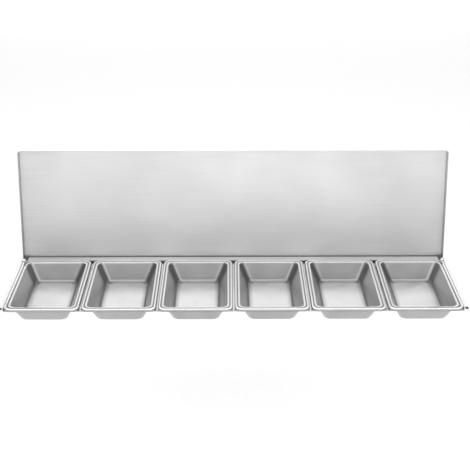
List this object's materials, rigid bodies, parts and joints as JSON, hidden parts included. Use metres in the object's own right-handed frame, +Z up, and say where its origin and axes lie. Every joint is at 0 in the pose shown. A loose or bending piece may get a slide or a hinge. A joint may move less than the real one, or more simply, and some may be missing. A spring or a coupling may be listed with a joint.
{
  "type": "bar garnish tray",
  "caption": "Drop-in row of lift-out stainless garnish pans in a folded frame, with a long hinged lid that stands open behind them.",
  "frame": {"origin": "middle of the row of pans, in the plane of the undersides of the two end ledges, which is the plane of the counter that the tray drops into", "axes": "+X along the row to the right, +Y from the front edge towards the lid, +Z up"},
  "size_m": [0.677, 0.2151, 0.199],
  "materials": {
    "pan_steel": "drawn stainless sheet, satin inside, softly brushed rim",
    "lid_steel": "stainless sheet, brushed along its length",
    "frame_steel": "folded stainless sheet, fine brushed",
    "pin_steel": "turned stainless, bright",
    "washer_nylon": "natural nylon",
    "bumper_rubber": "moulded black rubber"
  },
  "bodies": {
    "frame": {"bracket_rivets": "pin_steel", "divider_1": "frame_steel", "divider_2": "frame_steel", "divider_3": "frame_steel", "divider_4": "frame_steel", "divider_5": "frame_steel", "front_rail": "frame_steel", "front_rivets": "pin_steel", "left_end_rail": "frame_steel", "left_front_bumper": "bumper_rubber", "left_hinge_bracket": "frame_steel", "left_pivot_nut": "pin_steel", "left_pivot_pin": "pin_steel", "left_pivot_washer": "washer_nylon", "left_stop_bumper": "bumper_rubber", "rear_cover": "frame_steel", "rear_rail": "frame_steel", "right_end_rail": "frame_steel", "right_front_bumper": "bumper_rubber", "right_hinge_bracket": "frame_steel", "right_pivot_nut": "pin_steel", "right_pivot_pin": "pin_steel", "right_pivot_washer": "washer_nylon", "right_stop_bumper": "bumper_rubber"},
    "lid": {"lid": "lid_steel"},
    "pan_1": {"pan_1": "pan_steel"},
    "pan_2": {"pan_2": "pan_steel"},
    "pan_3": {"pan_3": "pan_steel"},
    "pan_4": {"pan_4": "pan_steel"},
    "pan_5": {"pan_5": "pan_steel"},
    "pan_6": {"pan_6": "pan_steel"}
  },
  "joints": [
    {"name": "lid_hinge", "type": "hinge", "parent": "frame", "child": "lid", "pos_m": [0, 0.09, -0.0015], "axis": [-1, 0, 0], "range_deg": [-98, 0]},
    {"name": "pan_1_lift", "type": "slide", "parent": "frame", "child": "pan_1", "axis": [0, 0, 1], "range_m": [0, 0.045]},
    {"name": "pan_2_lift", "type": "slide", "parent": "frame", "child": "pan_2", "axis": [0, 0, 1], "range_m": [0, 0.045]},
    {"name": "pan_3_lift", "type": "slide", "parent": "frame", "child": "pan_3", "axis": [0, 0, 1], "range_m": [0, 0.045]},
    {"name": "pan_4_lift", "type": "slide", "parent": "frame", "child": "pan_4", "axis": [0, 0, 1], "range_m": [0, 0.045]},
    {"name": "pan_5_lift", "type": "slide", "parent": "frame", "child": "pan_5", "axis": [0, 0, 1], "range_m": [0, 0.045]},
    {"name": "pan_6_lift", "type": "slide", "parent": "frame", "child": "pan_6", "axis": [0, 0, 1], "range_m": [0, 0.045]}
  ]
}
